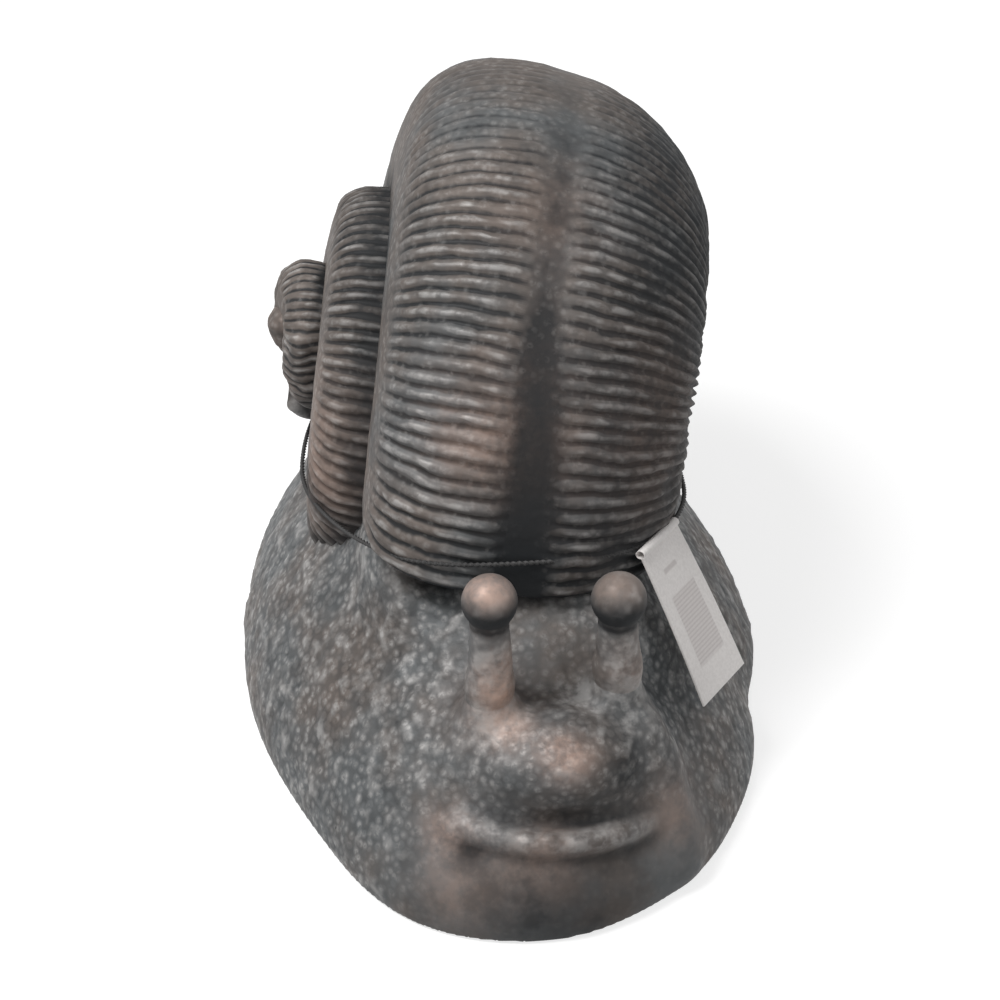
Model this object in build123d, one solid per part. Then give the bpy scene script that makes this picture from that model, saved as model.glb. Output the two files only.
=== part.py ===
from build123d import *
import math
import os

# A hollow-cast garden snail, as loose pieces in millimetres.
# The snail faces -Y, its spire points to -X, and its felt pads stand at z = 0.

# Casting walls, glue lines and cutting room
wall = 7.0
glue_gap = 0.3
slip_gap = 0.05
overrun = 4.0
cutter_span = 800.0
upright = (Align.CENTER, Align.CENTER, Align.MIN)
top_down = (Align.CENTER, Align.CENTER, Align.MAX)

# Felt pads, let into the base plate
pad_radius = 11.0
pad_thickness = 2.0
pad_proud = 0.6
pad_forward = 122.0
pad_side = 38.0

# Foot and back: ovals stacked from the ground up to the saddle of the shell
foot_half_width = 103.0
foot_half_length = 181.0
dome_height = 100.0
dome_power_across = 2.0
dome_power_along = 1.6
dome_shift = 10.0
saddle_height = 84.0
edge_tuck = 1.5
edge_height = 5.0
back_rings = 12
outline_points = 36
bulge_angles = (236.0, 342.0)
bulge_spreads = (20.0, 8.0)
bulge_shares = (0.085, -0.045)

# Collar of flesh that fills the mouth of the shell, then head, nose and chin:
# places counted to the right, forward and up, and half sizes across, along and up
collar_at = (2.0, 58.0, 50.0)
collar_halves = (64.0, 66.0, 55.0)
head_at = (3.0, 122.0, 36.0)
head_halves = (50.0, 42.0, 36.0)
nose_at = (3.0, 140.0, 54.0)
nose_halves = (30.0, 24.0, 18.0)
chin_at = (-3.0, 110.0, 10.0)
chin_halves = (72.0, 70.0, 32.0)

# Lower lip, a bead round the front of the chin, and the mouth above it
lip_radius = 4.5
lip_half_width = 36.0
lip_at_x = -3.0
lip_at_y = 167.0
lip_at_z = 38.0
lip_back = 14.0
lip_slope = 3.5
mouth_at = (8.0, 165.0, 47.0)
mouth_halves = (29.0, 11.0, 4.5)

# Eye stalks, cast round steel pins and glued into sockets in the head
stalk_names = ("left", "right")
stalk_at_x = (-21.0, 27.5)
stalk_at_y = (130.0, 126.0)
stalk_ball_z = (121.0, 117.0)
stalk_foot_z = 62.0
stalk_foot_radius = 12.5
stalk_waist_radius = 8.2
stalk_neck_radius = 7.4
stalk_waist_share = 0.35
ball_radius = 10.4
spigot_radius = 5.5
spigot_depth = 9.0
stalk_pin_radius = 1.5
stalk_pin_above = 34.0
stalk_foot_slope = 2.0

# Shell: one tube wound round a leaning axis, with two big whorls and a blunt tip
shell_at_x = 15.0
shell_at_y = 40.0
shell_at_z = 106.0
shell_yaw = 11.0
shell_tilt = 8.5
shell_radius = 129.0
spire_reach = 107.0
crown_half_spire = 52.0
crown_half_base = 74.0
crown_height = 60.0
core_radius = 12.0
spire_core_radius = 5.0
core_peg_low = 22.0
core_peg_high = 76.0
whorl_turns = (-0.35, 0, 0.5, 1, 1.6, 2, 2.6)
radius_shares = (1.155, 1, 0.75, 0.54, 0.225, 0.222, 0.14)
edge_shares = (0.505, 0.6, 0.72, 0.8, 0.87, 0.945, 1)
mouth_turn = -0.26
main_end_turn = 0.69
spire_end_turn = 1.6
tip_end_turn = 2.3
mouth_narrowing = 0.24
sections_per_turn = 24
fewest_sections = 4
section_points = 24
section_start_share = 0.625
outer_powers = (2.55, 1.85)
inner_powers = (2.6, 3.4)
tip_ball_radius = 9.0
tip_ball_reach = 99.0

# Seam of the two shell halves, down the smooth furrow, with its dowels
seam_offset = 2.0
dowel_radius = 1.5
dowel_length = 16.0
dowel_angles = (25.0, 60.0, 95.0, 130.0, 165.0)

# Base plate, in a rebate under the foot, and its screws
plate_thickness = 5.0
plate_inset = 10.0
plate_gap = 0.5
foot_rim = 18.0
screw_radius = 2.0
screw_length = 16.0
screw_head_radius = 4.0
screw_head_height = 2.4
screw_hole_gap = 0.3
screw_slot_width = 1.0
screw_slot_depth = 1.2
screw_angles = (35.0, 90.0, 145.0, 215.0, 270.0, 325.0)

# Rubber plug of the filling hole
plug_radius = 13.0
plug_depth = 11.0
plug_flange_radius = 17.0
plug_flange_thickness = 2.0
plug_recess_gap = 0.3

# Thin cord tied round the foot of the shell: corners of its route, from behind and round by the spire
cord_radius = 1.0
cord_route = (
    (-22.4, 145.6, 62.2),
    (-41.0, 136.0, 64.3),
    (-61.5, 100.5, 72.0),
    (-67.5, 66.0, 79.4),
    (-75.5, 34.0, 85.0),
    (-79.8, 2.0, 86.0),
    (-69.8, -49.6, 102.0),
    (-53.0, -85.8, 112.8),
    (-34.3, -98.3, 115.6),
    (-3.7, -102.6, 116.6),
    (41.5, -92.2, 109.5),
    (65.7, -57.6, 104.5),
    (72.0, -14.0, 97.1),
    (74.0, 24.0, 88.7),
    (65.0, 66.0, 79.5),
    (54.6, 106.0, 70.9),
    (38.4, 129.8, 65.7),
    (8.5, 145.6, 62.2),
)
cord_end_gap = 1.0
arc_share = 0.45
label_corner = 10
label_arc_reach = 8.0
crimp_radius = 2.0
crimp_length = 10.0

# Paper label, folded over the cord so that it can swing, and leaning out from the shell
label_length = 66.0
label_width = 31.0
label_thickness = 0.6
label_fold_gap = 0.5
label_fold_wall = 0.5
label_lean = 27.0


def share_at(turn, shares):
    """Smooth value between the shares given at whorl_turns."""
    turns = whorl_turns
    k = max(i for i in range(len(turns) - 1) if i == 0 or turn >= turns[i])
    rises = [(shares[i + 1] - shares[i]) / (turns[i + 1] - turns[i]) for i in range(len(turns) - 1)]

    def slope(i):
        if i == 0 or i == len(rises):
            return rises[min(i, len(rises) - 1)]
        before, after = rises[i - 1], rises[i]
        return 0 if before * after <= 0 else 2 * before * after / (before + after)

    step = turns[k + 1] - turns[k]
    u = (turn - turns[k]) / step
    return (
        (2 * u**3 - 3 * u**2 + 1) * shares[k]
        + (u**3 - 2 * u**2 + u) * step * slope(k)
        + (3 * u**2 - 2 * u**3) * shares[k + 1]
        + (u**3 - u**2) * step * slope(k + 1)
    )


# Axis of the shell: "spire" runs along it, "ahead" and "above" square to it
shell_centre = Vector(shell_at_x, shell_at_y, shell_at_z)
yaw = math.radians(shell_yaw)
tilt = math.radians(shell_tilt)
spire = Vector(-math.cos(yaw) * math.cos(tilt), math.sin(yaw) * math.cos(tilt), math.sin(tilt))
ahead = (Vector(0, -1, 0) - spire * spire.dot(Vector(0, -1, 0))).normalized()
above = ahead.cross(spire)
if above.Z < 0:
    above = -above


def shell_point(turn, along, out):
    """Point at a turn of the whorl, a distance along the axis and out from it."""
    angle = math.radians(90 + 360 * turn)
    return shell_centre + spire * along + (ahead * math.cos(angle) + above * math.sin(angle)) * out


def tube_sizes(turn, inset, core):
    """Middle and crown of the tube at a turn, and its half sizes towards spire, base, out and in."""
    radius = shell_radius * share_at(turn, radius_shares)
    size = min(1, radius / shell_radius) + min(0, mouth_narrowing * turn)
    middle = spire_reach * share_at(turn, edge_shares) - crown_half_spire * size
    crown = radius - crown_height * size
    halves = (crown_half_spire * size - inset, crown_half_base * size - inset)
    return middle, crown, halves, (crown_height * size - inset, crown - core - inset)


def section(turn, inset, core):
    """Closed outline of the tube at one turn, moved inwards by inset."""
    middle, crown, halves, rises = tube_sizes(turn, inset, core)
    points = []
    for k in range(section_points):
        angle = math.tau * (k / section_points + section_start_share)
        c, s = math.cos(angle), math.sin(angle)
        side = 0 if c > 0 else 1
        level = 0 if s > 0 else 1
        power = (outer_powers, inner_powers)[level][side]
        along = middle + math.copysign(abs(c) ** (2 / power), c) * halves[side]
        out = crown + math.copysign(abs(s) ** (2 / power), s) * rises[level]
        points.append(shell_point(turn, along, out))
    return Wire([Edge.make_spline(points, periodic=True)])


def whorl(first, last, inset=0, core=core_radius):
    """A stretch of the wound tube as one solid."""
    steps = max(fewest_sections, round((last - first) * sections_per_turn))
    turns = [first + (last - first) * k / steps for k in range(steps + 1)]
    return Solid.make_loft([section(turn, inset, core) for turn in turns])


def crest_out(turn, along, inset):
    """Distance from the axis to the crest of the tube at a place along the axis."""
    middle, crown, halves, rises = tube_sizes(turn, inset, core_radius)
    side = 0 if along > middle else 1
    power = outer_powers[side]
    return crown + rises[0] * (1 - (abs(along - middle) / halves[side]) ** power) ** (1 / power)


def lobe(at, halves, spread=0):
    """Egg-shaped mass of flesh, swollen by spread."""
    grown = tuple(half + spread for half in halves)
    return Pos(at[0], -at[1], at[2]) * scale(Sphere(1), by=grown)


def oval_point(angle, half_width, half_length, shift, level):
    """Point of the foot's outline, with its bulge by the chin and its dent by the label."""
    grow = 1
    for at, spread, share in zip(bulge_angles, bulge_spreads, bulge_shares):
        grow += share * math.exp(-(((angle - at) / spread) ** 2))
    turned = math.radians(angle)
    return (half_width * math.cos(turned) * grow, half_length * math.sin(turned) * grow - shift, level)


def oval(half_width, half_length, shift, level):
    """Closed outline of the foot at one level."""
    angles = [360 * k / outline_points for k in range(outline_points)]
    points = [oval_point(angle, half_width, half_length, shift, level) for angle in angles]
    return Wire([Edge.make_spline(points, periodic=True)])


def back_form(inset=0, rim=0, floor=0):
    """Foot and back as stacked ovals, moved inwards by inset, and by rim at the ground."""
    rings = []
    for k in range(-1, back_rings + 1):
        tuck = edge_tuck if k < 0 else 0
        height = floor if k < 0 else edge_height + (saddle_height - inset - edge_height) * k / back_rings
        share = max(0, height - edge_height) / (dome_height - inset)
        across = (1 - share**dome_power_across) ** (1 / dome_power_across)
        along = (1 - share**dome_power_along) ** (1 / dome_power_along)
        half_width = min((foot_half_width - inset) * across, foot_half_width - rim) - tuck
        half_length = min((foot_half_length - inset) * along, foot_half_length - rim) - tuck
        rings.append(oval(half_width, half_length, dome_shift * share, height))
    return Solid.make_loft(rings, ruled=True)


def flat_oval(inset, low, high):
    """Upright slab with the foot's outline, moved inwards by inset."""
    outline = oval(foot_half_width - inset, foot_half_length - inset, 0, low)
    return extrude(Face(outline), amount=high - low, dir=(0, 0, 1))


def body_form(spread=0):
    """Outside of the foot, back, collar, head and chin, swollen by spread."""
    return (
        back_form(-spread, floor=pad_proud - spread)
        + lobe(collar_at, collar_halves, spread)
        + lobe(head_at, head_halves, spread)
        + lobe(nose_at, nose_halves, spread)
        + lobe(chin_at, chin_halves, spread)
    )


def lip_bead():
    """Lower lip: a round bead along an arc, with round ends."""
    ends = [
        Vector(lip_at_x + side * lip_half_width, lip_back - lip_at_y, lip_at_z - side * lip_slope)
        for side in (-1, 1)
    ]
    arc = ThreePointArc(ends[0], Vector(lip_at_x, -lip_at_y, lip_at_z), ends[1])
    bead = sweep(Plane(arc @ 0, z_dir=arc % 0) * Circle(lip_radius), path=arc)
    for end in ends:
        bead += Pos(end) * Sphere(lip_radius)
    return bead


def stalk_axis(k):
    """Foot of an eye stalk, under the skin of the head."""
    return Pos(stalk_at_x[k], -stalk_at_y[k], stalk_foot_z)


def spigot(k, gap=0):
    """Round peg under an eye stalk."""
    low = stalk_axis(k) * Pos(0, 0, -spigot_depth)
    return low * Cylinder(spigot_radius + gap, spigot_depth + stalk_waist_radius, align=upright)


def stalk_pin(k, gap=0):
    """Steel pin up the middle of an eye stalk, from the end of its peg."""
    low = stalk_axis(k) * Pos(0, 0, -spigot_depth)
    return low * Cylinder(stalk_pin_radius + gap, spigot_depth + stalk_pin_above, align=upright)


def eye_stalk(k, head_room):
    """Tapering stalk with a ball on top, fitted to the skin of the head."""
    height = stalk_ball_z[k] - stalk_foot_z
    waist = height * stalk_waist_share
    with BuildPart() as stalk:
        with BuildSketch(Plane.XZ):
            with BuildLine():
                Polyline((0, height), (0, 0), (stalk_foot_radius, 0))
                Spline(
                    (stalk_foot_radius, 0),
                    (stalk_waist_radius, waist),
                    (stalk_neck_radius, height - ball_radius),
                    (0, height),
                    tangents=((-1, stalk_foot_slope), (-1, 0)),
                )
            make_face()
        revolve(axis=Axis.Z)
    form = stalk_axis(k) * stalk.part
    form += Pos(stalk_at_x[k], -stalk_at_y[k], stalk_ball_z[k]) * Sphere(ball_radius)
    return form - head_room + spigot(k) - stalk_pin(k, slip_gap)


def largest(shape):
    """The main solid of a cut form, without its crumbs."""
    return max(shape.solids(), key=lambda solid: solid.volume)


# Outer forms that the other pieces are fitted to
ground_block = Pos(0, 0, pad_proud) * Box(cutter_span, cutter_span, dome_height, align=top_down)
body_outside = body_form() + lip_bead() - ground_block
body_outside -= lobe(mouth_at, mouth_halves)
body_room = body_form(glue_gap)
turn_slack = overrun / shell_radius / math.tau
turn_gap = glue_gap / shell_radius / math.tau
main_form = whorl(mouth_turn, main_end_turn)
main_room = whorl(mouth_turn - turn_gap, main_end_turn + turn_gap, -glue_gap)
spire_form = whorl(main_end_turn, spire_end_turn, core=spire_core_radius)
spire_room = whorl(main_end_turn, spire_end_turn + turn_gap, -glue_gap, spire_core_radius)
tip_form = whorl(spire_end_turn, tip_end_turn, core=spire_core_radius)

# Shell: hollow main whorl, split down the furrow
shell_skin = main_form - whorl(mouth_turn - turn_slack, main_end_turn + turn_slack, wall) - body_room
seam = Plane(origin=shell_centre + spire * seam_offset, z_dir=spire)
half_block = Box(cutter_span, cutter_span, cutter_span, align=upright)
shell_halves = {
    "left": shell_skin & seam * Pos(0, 0, glue_gap / 2) * half_block,
    "right": shell_skin & seam * Pos(0, 0, -glue_gap / 2) * Rot(180, 0, 0) * half_block,
}
dowel_places = []
for angle in dowel_angles:
    turn = (angle - 90) / 360
    out = (crest_out(turn, seam_offset, 0) + crest_out(turn, seam_offset, wall)) / 2
    dowel_places.append(Plane(origin=shell_point(turn, seam_offset, out), z_dir=spire))

# Second whorl with the peg that fills the core of the main whorl, and the tip
core_peg_length = core_peg_low + core_peg_high
core_place = Plane(origin=shell_centre + spire * (core_peg_high - core_peg_low) / 2, z_dir=spire)
peg = core_place * Cylinder(core_radius - 2 * glue_gap, core_peg_length)
peg_room = core_place * Cylinder(core_radius - glue_gap, core_peg_length + 2 * glue_gap)
spire_skin = spire_form - main_room + peg - body_room
tip_knob = Pos(shell_centre + spire * tip_ball_reach) * Sphere(tip_ball_radius)
tip_skin = tip_form + tip_knob - spire_room - peg_room - main_room

pieces = {}
for side, half in shell_halves.items():
    piece = largest(half)
    for place in dowel_places:
        piece -= place * Cylinder(dowel_radius + slip_gap, dowel_length + glue_gap)
    pieces["shell_" + side + "_half"] = piece
pieces["seam_dowels"] = Compound([place * Cylinder(dowel_radius, dowel_length) for place in dowel_places])
pieces["spire_whorl"] = largest(spire_skin)
pieces["spire_tip"] = largest(tip_skin)

# Eye stalks and their pins
for k, side in enumerate(stalk_names):
    pieces["eye_stalk_" + side] = eye_stalk(k, body_room)
    pieces["stalk_pin_" + side] = stalk_pin(k)

# Body casting: hollow back, rebate for the plate, sockets for the stalks
plate_top = pad_proud + plate_thickness
body = body_outside - back_form(wall, foot_rim, pad_proud)
body -= flat_oval(plate_inset - plate_gap, pad_proud - overrun, plate_top)
for k in range(len(stalk_names)):
    body -= spigot(k, slip_gap)

# Base plate with its screws, pads and plug
plate = flat_oval(plate_inset, pad_proud, plate_top)
screw_middle_inset = (plate_inset + foot_rim) / 2
screws = []
for angle in screw_angles:
    half_width = foot_half_width - screw_middle_inset
    half_length = foot_half_length - screw_middle_inset
    x, y, z = oval_point(angle, half_width, half_length, 0, pad_proud)
    head = Pos(x, y, z) * Cylinder(screw_head_radius, screw_head_height, align=upright)
    slot = Pos(x, y, z) * Box(2 * screw_head_radius, screw_slot_width, screw_slot_depth, align=upright)
    shank = Pos(x, y, z) * Cylinder(screw_radius, screw_length, align=upright)
    screws.append(head + shank - slot)
    body -= Pos(x, y, z) * Cylinder(screw_radius + slip_gap, screw_length, align=upright)
    plate -= Pos(x, y, z) * Cylinder(screw_radius + screw_hole_gap, plate_thickness, align=upright)
    plate -= Pos(x, y, z) * Cylinder(screw_head_radius + screw_hole_gap, screw_head_height, align=upright)

pads = []
for side in (-1, 1):
    for end in (-1, 1):
        place = Pos(side * pad_side, end * pad_forward, 0)
        pads.append(place * Cylinder(pad_radius, pad_thickness, align=upright))
        plate -= place * Cylinder(pad_radius + glue_gap, pad_thickness, align=upright)

plug_low = Pos(0, 0, pad_proud)
plug = plug_low * Cylinder(plug_radius, plug_depth, align=upright)
plug += plug_low * Cylinder(plug_flange_radius, plug_flange_thickness, align=upright)
plate -= plug_low * Cylinder(plug_radius + slip_gap, plate_thickness, align=upright)
plate -= plug_low * Cylinder(plug_flange_radius + plug_recess_gap, plug_flange_thickness, align=upright)

# Cord: straight runs joined by arcs, open behind the shell where the crimp joins its ends
corners = [Vector(*point) for point in cord_route]
meeting = (corners[0] + corners[-1]) / 2
towards = (corners[0] - corners[-1]).normalized()
route = [meeting + towards * (cord_end_gap / 2), *corners, meeting - towards * (cord_end_gap / 2)]
radii = []
for k in range(1, len(route) - 1):
    before, after = route[k] - route[k - 1], route[k + 1] - route[k]
    reach = arc_share * min(before.length, after.length)
    if k - 1 in (label_corner, label_corner + 1):
        reach = min(reach, label_arc_reach)
    radii.append(reach / math.tan(math.radians(before.get_angle(after)) / 2))
print("cord radii", [round(radius) for radius in radii])
path = FilletPolyline(*route, radius=radii)
cord = sweep(Plane(path @ 0, z_dir=path % 0) * Circle(cord_radius), path=path)
straight_volume = math.pi * cord_radius**2 * path.length
print("cord length", round(path.length), "volume", round(cord.volume), round(straight_volume))
crimp = Plane(meeting, z_dir=towards) * Cylinder(crimp_radius, crimp_length)
crimp -= Plane(meeting, z_dir=towards) * Cylinder(cord_radius + slip_gap, crimp_length)

# Label: a fold round the cord and two plies hanging from it
fold_from, fold_to = corners[label_corner], corners[label_corner + 1]
fold_line = (fold_to - fold_from).normalized()
fold_middle = (fold_from + fold_to) / 2
outwards = fold_line.cross(Vector(0, 0, -1)).normalized()
if outwards.X < 0:
    outwards = -outwards
downwards = fold_line.cross(outwards).normalized()
if downwards.Z > 0:
    downwards = -downwards
lean = math.radians(label_lean)
hang = downwards * math.cos(lean) + outwards * math.sin(lean)
fold_plane = Plane(fold_middle, x_dir=hang, z_dir=fold_line)
fold_bore = cord_radius + label_fold_gap
fold_outside = fold_bore + label_fold_wall
label = Cylinder(fold_outside, label_width)
label += Pos(label_length / 2, 0, 0) * Box(label_length, label_thickness, label_width)
label -= Cylinder(fold_bore, label_width)
label = fold_plane * label

pieces["foot_casting"] = body
pieces["base_plate"] = plate
pieces["base_screws"] = Compound(screws)
pieces["foot_pads"] = Compound(pads)
pieces["filler_plug"] = plug
pieces["tag_cord"] = cord
pieces["cord_crimp"] = crimp
pieces["tag_label"] = label

os.makedirs("parts", exist_ok=True)
for name, shape in pieces.items():
    export_step(shape, "parts/" + name + ".step")
    print(name, len(shape.solids()), round(shape.volume), shape.is_valid)
print("label fold at", fold_middle, "along", fold_line, "hang", hang)
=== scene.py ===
# %% [markdown]
# # A cast garden snail
# The solids of the snail come first and stay where they are. Everything that follows is measured in
# metres in that same frame: the snail faces -Y, its spire points to -X, and the ground is at z = 0.

# %% Load the solids
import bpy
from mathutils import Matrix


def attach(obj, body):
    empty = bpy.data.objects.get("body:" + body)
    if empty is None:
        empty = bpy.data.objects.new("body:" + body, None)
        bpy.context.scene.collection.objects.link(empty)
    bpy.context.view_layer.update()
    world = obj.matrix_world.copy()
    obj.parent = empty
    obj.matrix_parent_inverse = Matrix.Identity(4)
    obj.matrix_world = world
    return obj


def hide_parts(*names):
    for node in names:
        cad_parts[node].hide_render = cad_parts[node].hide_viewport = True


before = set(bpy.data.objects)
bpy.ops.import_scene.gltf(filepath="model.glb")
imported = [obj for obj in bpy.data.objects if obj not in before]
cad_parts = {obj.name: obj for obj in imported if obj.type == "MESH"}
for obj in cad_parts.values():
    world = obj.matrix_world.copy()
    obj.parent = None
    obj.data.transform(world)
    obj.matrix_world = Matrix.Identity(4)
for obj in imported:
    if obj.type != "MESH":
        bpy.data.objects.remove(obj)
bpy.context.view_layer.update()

# %% Tools
import math

import bmesh
import bpy
import numpy as np
from mathutils import Vector, kdtree

MM = 0.001
scene = bpy.context.scene


# %% Helpers for objects and meshes
def add_object(name, data):
    """A new object in the scene, at the origin."""
    piece = bpy.data.objects.new(name, data)
    scene.collection.objects.link(piece)
    return piece


def look(piece, place, direction):
    """Places a camera or a lamp so that it looks that way."""
    piece.location = place
    piece.rotation_mode = "QUATERNION"
    piece.rotation_quaternion = direction.to_track_quat("-Z", "Y")


def pointing(vector, guide):
    """The vector, turned round if it points against the guide."""
    return vector if vector.dot(guide) > 0 else -vector


def write_values(mesh, key, values):
    """Writes numbers on a mesh's points under a name."""
    if key not in mesh.attributes:
        mesh.attributes.new(key, "FLOAT", "POINT")
    mesh.attributes[key].data.foreach_set("value", values)


def finished_mesh(piece):
    """What a piece's modifiers make of it, as a mesh."""
    return bpy.data.meshes.new_from_object(piece.evaluated_get(bpy.context.evaluated_depsgraph_get()))


# %% [markdown]
# ## Camera
# The snail was seen from in front, a little to one side and from above, with a long lens that keeps
# the sides nearly parallel. The camera is placed by two angles round a target point, so another view
# only takes two other numbers.

# %% Camera
CAMERA_TURN, CAMERA_HEIGHT = math.radians(-7.5), math.radians(35)
CAMERA_DISTANCE, CAMERA_LENS = 1.5, 135
TARGET = Vector((0, 0, 0.074))
back = Vector((
    math.sin(CAMERA_TURN) * math.cos(CAMERA_HEIGHT),
    -math.cos(CAMERA_TURN) * math.cos(CAMERA_HEIGHT),
    math.sin(CAMERA_HEIGHT),
))
camera = add_object("camera", bpy.data.cameras.new("camera"))
camera.data.lens = CAMERA_LENS
look(camera, TARGET + back * CAMERA_DISTANCE, -back)
scene.camera = camera
print("camera at", camera.location)


# %% [markdown]
# ## Putting nodes together
# Materials and Geometry Nodes are both trees of nodes. One helper adds a node, sets it and links what
# feeds it. A small class lets numbers in a tree be written as plain arithmetic, which keeps the rule
# of the shell readable.

# %% Node helpers
def put(tree, kind, inputs=None, **settings):
    """Adds a node; inputs are values or the sockets that feed it."""
    node = tree.nodes.new(kind)
    for name, value in settings.items():
        setattr(node, name, value)
    for name, value in (inputs or {}).items():
        socket = node.inputs[name]
        if isinstance(value, Number):
            value = value.socket
        if isinstance(value, bpy.types.NodeSocket):
            tree.links.new(value, socket)
        else:
            socket.default_value = value
    return node


# %% Numbers in a tree
class Number:
    """A number in a node tree that can be added, multiplied and so on."""

    def __init__(self, tree, socket):
        self.tree, self.socket = tree, socket

    def do(self, operation, *others):
        node = put(self.tree, "ShaderNodeMath", dict(enumerate((self, *others))), operation=operation)
        return Number(self.tree, node.outputs[0])

    def __add__(self, other):
        return self.do("ADD", other)

    def __sub__(self, other):
        return self.do("SUBTRACT", other)

    def __mul__(self, other):
        return self.do("MULTIPLY", other)

    def __truediv__(self, other):
        return self.do("DIVIDE", other)

    def __pow__(self, other):
        return self.do("POWER", other)

    def fade(self, low, high):
        """0 up to low, 1 from high, smooth between."""
        node = put(self.tree, "ShaderNodeMapRange", {"Value": self, "From Min": low, "From Max": high},
                   interpolation_type="SMOOTHSTEP")
        return Number(self.tree, node.outputs["Result"])

    def between(self, low, high):
        """low where this is 0, high where it is 1."""
        return self * (high - low) + low

    def rest(self):
        """What is missing to 1."""
        return self * -1 + 1


# %% Groups and sockets
def new_tree(name, kind, inputs, outputs):
    """A node group with named sockets, given as (label, socket type, default value or None)."""
    tree = bpy.data.node_groups.new(name, kind)
    for label, socket_type, value in inputs:
        socket = tree.interface.new_socket(label, in_out="INPUT", socket_type=socket_type)
        if value is not None:
            socket.default_value = value
    for label, socket_type in outputs:
        tree.interface.new_socket(label, in_out="OUTPUT", socket_type=socket_type)
    return tree, tree.nodes.new("NodeGroupInput"), tree.nodes.new("NodeGroupOutput")


def live_socket(sockets, label):
    """The socket of that name which the node uses now; some nodes keep one for each data type."""
    return next(socket for socket in sockets if socket.name == label and socket.enabled)


def end_tree(tree, geometry, group_in, group_out):
    """Ends a tree: real geometry in the finish that it was given."""
    real = put(tree, "GeometryNodeRealizeInstances", {"Geometry": geometry})
    finished = put(tree, "GeometryNodeSetMaterial",
                   {"Geometry": real.outputs[0], "Material": group_in.outputs["Finish"]})
    tree.links.new(finished.outputs[0], group_out.inputs[0])
    print(tree.name, len(tree.nodes), "nodes")


# %% Helpers for materials
def new_material(name):
    """A material, its node tree and its Principled shader."""
    material = bpy.data.materials.new(name)
    material.use_nodes = True
    return material, material.node_tree, material.node_tree.nodes["Principled BSDF"]


def dress(tree, shader, colour, roughness, height, strength, depth):
    """Feeds a shader its colour, its roughness and a bump of that depth."""
    bump = put(tree, "ShaderNodeBump", {"Height": height, "Strength": strength, "Distance": depth})
    sources = {"Base Color": colour, "Roughness": roughness, "Normal": bump.outputs["Normal"]}
    for label, source in sources.items():
        tree.links.new(source, shader.inputs[label])


# %% [markdown]
# ## Patina
# The figure is cast, darkened all over, and then rubbed: hollows stay nearly black, flat skin is a
# cool grey with brown clouds, and high spots are worn to pale metal, here and there to copper. One
# group does this for every cast piece. Each piece tells it how high a spot stands, how much dirt and
# painted shade it carries and how much copper shows, as attributes painted on its points.

# %% Patina group
def colour_mix(tree, share, low, high):
    """Colour between low and high."""
    node = put(tree, "ShaderNodeMix", {0: share, 6: low, 7: high}, data_type="RGBA", clamp_factor=True)
    return node.outputs[2]


def cloud(tree, vector, size, detail=3.0, roughness=0.55):
    """Soft random spots of about that size in metres."""
    node = put(tree, "ShaderNodeTexNoise",
               {"Vector": vector, "Scale": 1 / size, "Detail": detail, "Roughness": roughness})
    return Number(tree, node.outputs[0])


PATINA_INPUTS = (("Height", 0.5), ("Dirt_And_Shade", 0.0), ("Copper", 0.0), ("Grain", 1.0), ("Brown", 0.5))
patina, patina_in, patina_out = new_tree(
    "patina", "ShaderNodeTree", [(label, "NodeSocketFloat", value) for label, value in PATINA_INPUTS],
    [("Color", "NodeSocketColor"), ("Roughness", "NodeSocketFloat"), ("Bump", "NodeSocketFloat")],
)
place = put(patina, "ShaderNodeTexCoord").outputs["Object"]
height, dirt_and_shade, copper, grain, brown = (
    Number(patina, patina_in.outputs[label]) for label, _ in PATINA_INPUTS)

# %% Colours and clouds of the patina
SMOKE = (0.016, 0.018, 0.020, 1)
COOL_GREY = (0.132, 0.138, 0.141, 1)
WARM_GREY = (0.150, 0.128, 0.115, 1)
PEWTER = (0.40, 0.39, 0.38, 1)
COPPER = (0.48, 0.33, 0.265, 1)

# size in millimetres, detail and roughness, from sand to clouds
CLOUD_SIZES = ((1.1, 2.0, 0.5), (2.6, 2.0, 0.6), (7, 3.0, 0.6), (17, 3.0, 0.6), (48, 4.0, 0.6))
KERNEL = 3.4 * MM
sand, pebbles, dashes, drifts, clouds = (
    cloud(patina, place, size * MM, detail, roughness) for size, detail, roughness in CLOUD_SIZES)
# flat skin: cool grey with brown clouds
tone = colour_mix(patina, (clouds + brown - 0.5).fade(0.38, 0.66), COOL_GREY, WARM_GREY)
kernels = put(patina, "ShaderNodeTexVoronoi", {"Vector": place, "Scale": 1 / KERNEL, "Randomness": 1.0})
kernel = Number(patina, kernels.outputs["Distance"]).fade(0.75, 0.10)
# soot in the dips, in the dirt and painted shade, and between the kernels of the grain
soot = drifts.fade(0.58, 0.34) * 0.25 + dirt_and_shade + kernel.fade(0.45, 0.0) * grain * 0.30
low_spots = height.fade(0.48, 0.0) * 0.9
tone = colour_mix(patina, (soot + low_spots).do("MINIMUM", 0.95), tone, SMOKE)
# crests and kernels rubbed to pale metal
rub = (height.fade(0.60, 1.0) * dashes.fade(0.34, 0.64) * 0.62
       + kernel.fade(0.35, 1.0) * pebbles.fade(0.38, 0.60) * drifts.fade(0.25, 0.55) * grain * 0.52)
rub = rub * (dirt_and_shade * -0.9 + 1).do("MAXIMUM", 0)
tone = colour_mix(patina, rub.do("MINIMUM", 0.9), tone, PEWTER)
# copper on the chosen places
bronze = copper * ((pebbles * 0.5 + drifts).fade(0.55, 0.95) * 0.6 + 0.4) * (dirt_and_shade * -0.85 + 1)
tone = colour_mix(patina, bronze.do("MINIMUM", 1), tone, COPPER)
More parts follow.
